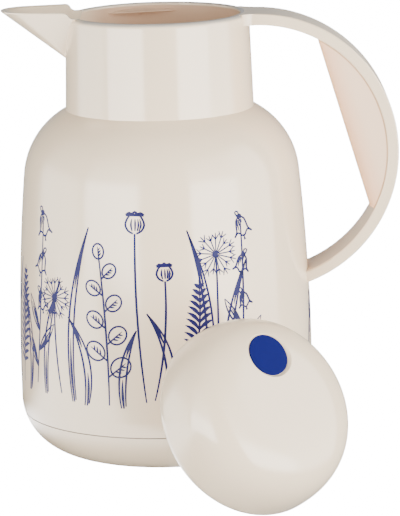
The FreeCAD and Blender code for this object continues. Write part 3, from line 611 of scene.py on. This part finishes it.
class Wrapper:
    """Lays drawn points on the jacket's outside."""

    def __init__(self, node):
        mesh = node.data
        mesh.calc_loop_triangles()
        triangles = [tuple(t.vertices) for t in mesh.loop_triangles]
        self.tree = BVHTree.FromPolygons([v.co.copy() for v in mesh.vertices], triangles)

    def place(self, across, height, lift):
        """Point on the shell, lifted off it."""
        angle = across / WRAP_RADIUS
        out = Vector((math.sin(angle), -math.cos(angle), 0))
        level = Vector((0, 0, height * MM))
        hit = self.tree.ray_cast(level + out * OUTSIDE, -out)[0]
        if hit is None:
            raise RuntimeError("a printed line leaves the shell")
        return hit + out * lift


def ribbon_mesh(name, strokes, wrapper, line_width, ink_height):
    """Thin closed ribbons along the strokes, pressed slightly into the shell."""
    verts, faces = [], []
    for points, widths in strokes:
        row = resample(points)
        last = len(row) - 1
        start = len(verts)
        for i, point in enumerate(row):
            before, after = row[max(0, i - 1)], row[min(last, i + 1)]
            dx, dz = after[0] - before[0], after[1] - before[1]
            length = math.hypot(dx, dz) or 1.0
            t = 2 * i / last - 1
            edge = widths[0] if t < 0 else widths[2]
            half = (edge + (widths[1] - edge) * (1 - abs(t) ** PEN_SWELL)) * line_width / MM / 2
            across = (-dz / length * half, dx / length * half)
            for side, lift in ((1, ink_height), (-1, ink_height), (-1, -ink_height), (1, -ink_height)):
                verts.append(wrapper.place(point[0] + side * across[0], point[1] + side * across[1], lift))
        for i in range(last):
            a = start + 4 * i
            for k in range(4):
                n = (k + 1) % 4
                faces.append((a + k, a + n, a + 4 + n, a + 4 + k))
        faces.append((start + 3, start + 2, start + 1, start))
        faces.append(tuple(start + 4 * last + k for k in range(4)))
    mesh = bpy.data.meshes.new(name)
    mesh.from_pydata(verts, [], faces)
    mesh.update()
    return mesh


class JUG_OT_meadow(Operator):
    """Print a meadow of line-drawn plants round the jug"""

    bl_idname = "jug.meadow"
    bl_label = "Printed meadow"

    def execute(self, context):
        s = settings()
        wrapper = Wrapper(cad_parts["outer_jacket"])
        ink = shiny(varied("ink", s.ink, roughness=0.4, spread=0.12, scale=30), level=0.15)
        for name, plan in (("meadow_front", FRONT), ("meadow_sides", SIDES)):
            mesh = ribbon_mesh(name, draw_meadow(plan), wrapper, s.line, s.ink_height)
            mesh.materials.append(ink)
            piece = bpy.data.objects.new(name, mesh)
            context.scene.collection.objects.link(piece)
            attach(piece, "jug")
        return {"FINISHED"}


# Studio

# The light panels stand at one distance from the jug, with their feet at one level. Their strength
# follows stops of (share of the way, strength), from foot to top and from side to side.
PANEL_DISTANCE = 1.1
PANEL_FOOT = -0.35
LEFT_RISE = ((0.0, 0.0), (0.21, 1.0), (0.36, 1.0), (0.52, 0.28), (0.8, 0.14), (1.0, 0.0))
RIGHT_RISE = ((0.0, 0.0), (0.21, 1.0), (0.36, 1.0), (0.53, 0.28), (0.8, 0.20), (1.0, 0.0))
SIDE_RISE = ((0.0, 0.0), (0.2, 1.0), (0.65, 0.9), (1.0, 0.0))
SOFT_SIDES = ((0.0, 0.0), (0.25, 1.0), (0.75, 1.0), (1.0, 0.0))
EVEN = ((0.0, 1.0), (1.0, 1.0))

# The room is brightest at eye level and dark overhead, and its strength falls towards the left
ROOM_BELOW = (0.5, 0.5, 0.5)
ROOM_LEVEL = (0.7, 0.7, 0.7)
ROOM_OVERHEAD = (0.05, 0.05, 0.055)
LEFTWARD = (-0.98, 0.2, 0)
LEFT_DIM = (0.4, 0.75)
LEFT_STRENGTH = (1.0, 0.4)

# The floor, the wall round it, and a glowing sheet that paints a bright pool at the jug's left into
# reflections only: dark round the jug's foot as painted contact shadow, it fades along two directions
FLOOR_REACH = 12.0
WALL_RADIUS = 11.0
WALL_HEIGHT = 8.0
PAPER_GLOW = 16.0
SHEEN_CENTRE = (-0.4, -0.3, -0.001)
SHEEN_REACH = 0.4
SHEEN_FOOT_SHADE = (0.064, 0.090)
SHEEN_FADES = (((0.5, -0.866, 0), 0.125, 0.07), (Y_AXIS, 0.08, 0.0))
SHEEN_GLOW = 7.0

# The camera that was fitted to the photograph: place in metres, angles in degrees, optics in mm
CAMERA_PLACE = (0.01727, -1.582, 0.4143)
CAMERA_PITCH = 11.605
CAMERA_ROLL = 1.433
CAMERA_LENS = 235.47
SENSOR_HEIGHT = 36.0


def colour_ramp(owner, value, stops, shape):
    """Colour that follows a value; stops are (value, colour)."""
    ramp = owner.node_tree.nodes.new("ShaderNodeValToRGB")
    ramp.color_ramp.interpolation = shape
    elements = ramp.color_ramp.elements
    for share, colour in stops[1:-1]:
        elements.new(share).color = (*colour, 1)
    for element, (share, colour) in ((elements[0], stops[0]), (elements[-1], stops[-1])):
        element.position = share
        element.color = (*colour, 1)
    owner.node_tree.links.new(value, ramp.inputs["Fac"])
    return ramp.outputs["Color"]


def strength_ramp(owner, value, stops):
    """Strength that follows a value smoothly; stops are (value, strength)."""
    greys = [(share, (strength, strength, strength)) for share, strength in stops]
    return colour_ramp(owner, value, greys, "EASE")


def fade_ends(light, upward, across):
    """Let a light panel's strength follow stops over its height and its width."""
    light.use_nodes = True
    nodes, links = light.node_tree.nodes, light.node_tree.links
    split = nodes.new("ShaderNodeSeparateXYZ")
    links.new(nodes.new("ShaderNodeNewGeometry").outputs["Parametric"], split.inputs["Vector"])
    rise = strength_ramp(light, split.outputs["Y"], upward)
    width = strength_ramp(light, split.outputs["X"], across)
    links.new(product(light, rise, width), nodes["Emission"].inputs["Strength"])


def light_panel(name, azimuth, spread, top, power, upward, across=EVEN):
    """Soft box that stands round the jug; azimuth is measured from the camera's side to the right."""
    angle = math.radians(azimuth)
    light = bpy.data.lights.new(name, "AREA")
    fade_ends(light, upward, across)
    light.shape = "RECTANGLE"
    light.size = 2 * PANEL_DISTANCE * math.tan(math.radians(spread) / 2)
    light.size_y = top - PANEL_FOOT
    light.energy = power
    lamp = bpy.data.objects.new(name, light)
    back = Vector((math.sin(angle), -math.cos(angle), 0))
    lamp.location = back * PANEL_DISTANCE + Vector((0, 0, (PANEL_FOOT + top) / 2))
    lamp.rotation_euler = back.to_track_quat("Z", "Y").to_euler()
    bpy.context.scene.collection.objects.link(lamp)
    return lamp


def room_light():
    """Dim room round the table."""
    world = bpy.data.worlds.new("studio")
    world.use_nodes = True
    nodes, links = world.node_tree.nodes, world.node_tree.links
    direction = nodes.new("ShaderNodeTexCoord").outputs["Generated"]
    height = share_of(world, distance_along(world, direction, Z_AXIS), -1.0, 1.0, shape="LINEAR")
    stops = ((0.0, ROOM_BELOW), (0.5, ROOM_LEVEL), (1.0, ROOM_OVERHEAD))
    links.new(colour_ramp(world, height, stops, "LINEAR"), nodes["Background"].inputs["Color"])
    leftward = distance_along(world, direction, LEFTWARD)
    strength = share_of(world, leftward, *LEFT_DIM, LEFT_STRENGTH, "LINEAR")
    links.new(strength, nodes["Background"].inputs["Strength"])
    bpy.context.scene.world = world


def stage_sheet(name, material, corners, faces, centre=(0, 0, 0)):
    """Sheet of the stage, which lights nothing by diffuse light and throws no shadow."""
    mesh = bpy.data.meshes.new(name)
    mesh.from_pydata(corners, [], faces)
    mesh.materials.append(material)
    sheet = bpy.data.objects.new(name, mesh)
    sheet.location = centre
    sheet.visible_diffuse = False
    sheet.visible_shadow = False
    bpy.context.scene.collection.objects.link(sheet)
    return sheet


def flat_sheet(name, material, reach, centre=(0, 0, 0)):
    """Square sheet that lies flat."""
    corners = [(reach * x, reach * y, 0) for x, y in ((-1, -1), (1, -1), (1, 1), (-1, 1))]
    return stage_sheet(name, material, corners, [(0, 1, 2, 3)], centre)


def round_wall(name, material, radius, height, sides=64):
    """Wall that stands all round the table."""
    corners, faces = [], []
    for i in range(sides):
        angle = 2 * math.pi * i / sides
        corners.extend((radius * math.cos(angle), radius * math.sin(angle), level) for level in (0, height))
        a, b = 2 * i, 2 * ((i + 1) % sides)
        faces.append((a, a + 1, b + 1, b))
    return stage_sheet(name, material, corners, faces)


def white_room():
    """Floor and wall in glowing paper, which reflections don't show."""
    paper = varied("paper", PAPER, roughness=0.7, spread=0.004, scale=3)
    shader = shader_of(paper)
    shader.inputs["Emission Color"].default_value = (1, 1, 1, 1)
    shader.inputs["Emission Strength"].default_value = PAPER_GLOW
    flat_sheet("floor", paper, FLOOR_REACH).visible_glossy = False
    round_wall("backdrop", paper, WALL_RADIUS, WALL_HEIGHT).visible_glossy = False


def table_sheen():
    """Glowing sheet that paints a bright pool on the table into glossy reflections, with painted contact
    shadow round the jug's foot; the camera doesn't see it.
    """
    material = varied("sheen", (0, 0, 0), roughness=0.9)
    place = vector_step(material, "ADD", object_place(material), SHEEN_CENTRE)
    # Dark round the jug's foot as painted contact shadow, then fading out towards the stopper and behind
    # the jug
    glow = share_of(material, distance_from(material, place, ROUND_Z), *SHEEN_FOOT_SHADE)
    for direction, start, end in SHEEN_FADES:
        fade = share_of(material, distance_along(material, place, direction), start, end)
        glow = product(material, glow, fade)
    shader = shader_of(material)
    shader.inputs["Emission Strength"].default_value = SHEEN_GLOW
    material.node_tree.links.new(glow, shader.inputs["Emission Color"])
    flat_sheet("table_sheen", material, SHEEN_REACH, SHEEN_CENTRE).visible_camera = False


def photo_camera():
    """Camera that matches the photograph's view."""
    pitch, roll = math.radians(CAMERA_PITCH), math.radians(CAMERA_ROLL)
    right = Vector(X_AXIS)
    up = Vector((0, math.sin(pitch), math.cos(pitch)))
    back = Vector((0, -math.cos(pitch), math.sin(pitch)))
    across = right * math.cos(roll) - up * math.sin(roll)
    upward = right * math.sin(roll) + up * math.cos(roll)
    data = bpy.data.cameras.new("photo_camera")
    data.sensor_fit = "VERTICAL"
    data.sensor_height = SENSOR_HEIGHT
    data.lens = CAMERA_LENS
    camera = bpy.data.objects.new("photo_camera", data)
    turned = Matrix((across, upward, back)).transposed()
    camera.matrix_world = Matrix.Translation(CAMERA_PLACE) @ turned.to_4x4()
    bpy.context.scene.collection.objects.link(camera)
    bpy.context.scene.camera = camera


class JUG_OT_studio(Operator):
    """Set up the table, the backdrop, the light panels and the camera"""

    bl_idname = "jug.studio"
    bl_label = "Studio"

    def execute(self, context):
        power = settings().panel_power
        white_room()
        table_sheen()
        light_panel(
            "front_left", azimuth=-41, spread=46, top=1.3, power=power * 1.04, upward=LEFT_RISE)
        light_panel(
            "front_right", azimuth=43.5, spread=41, top=1.3, power=power * 0.95, upward=RIGHT_RISE)
        light_panel(
            "side_right", azimuth=81, spread=34, top=1.4, power=power * 0.37, upward=SIDE_RISE)
        card = light_panel(
            "card_left", azimuth=-92, spread=60, top=1.3, power=power * 0.65, upward=LEFT_RISE,
            across=SOFT_SIDES)
        card.visible_diffuse = False
        room_light()
        photo_camera()
        return {"FINISHED"}


class JUG_PT_panel(Panel):
    """Sidebar panel with the jug's settings and steps"""

    bl_idname = "JUG_PT_panel"
    bl_label = "Vacuum Jug"
    bl_space_type = "VIEW_3D"
    bl_region_type = "UI"
    bl_category = "Jug"

    def draw(self, context):
        for name in JugSettings.__annotations__:
            self.layout.prop(context.scene.jug_settings, name)
        for step in STEPS:
            self.layout.operator(step.bl_idname)


STEPS = (JUG_OT_shell, JUG_OT_inside, JUG_OT_stopper, JUG_OT_meadow, JUG_OT_studio)
CLASSES = (JugSettings, *STEPS, JUG_PT_panel)


def register():
    for cls in CLASSES:
        bpy.utils.register_class(cls)
    bpy.types.Scene.jug_settings = PointerProperty(type=JugSettings)


def unregister():
    del bpy.types.Scene.jug_settings
    for cls in reversed(CLASSES):
        bpy.utils.unregister_class(cls)


def main():
    register()
    bpy.ops.jug.shell()
    bpy.ops.jug.inside()
    bpy.ops.jug.stopper()
    bpy.ops.jug.meadow()
    bpy.ops.jug.studio()


if __name__ == "__main__":
    main()
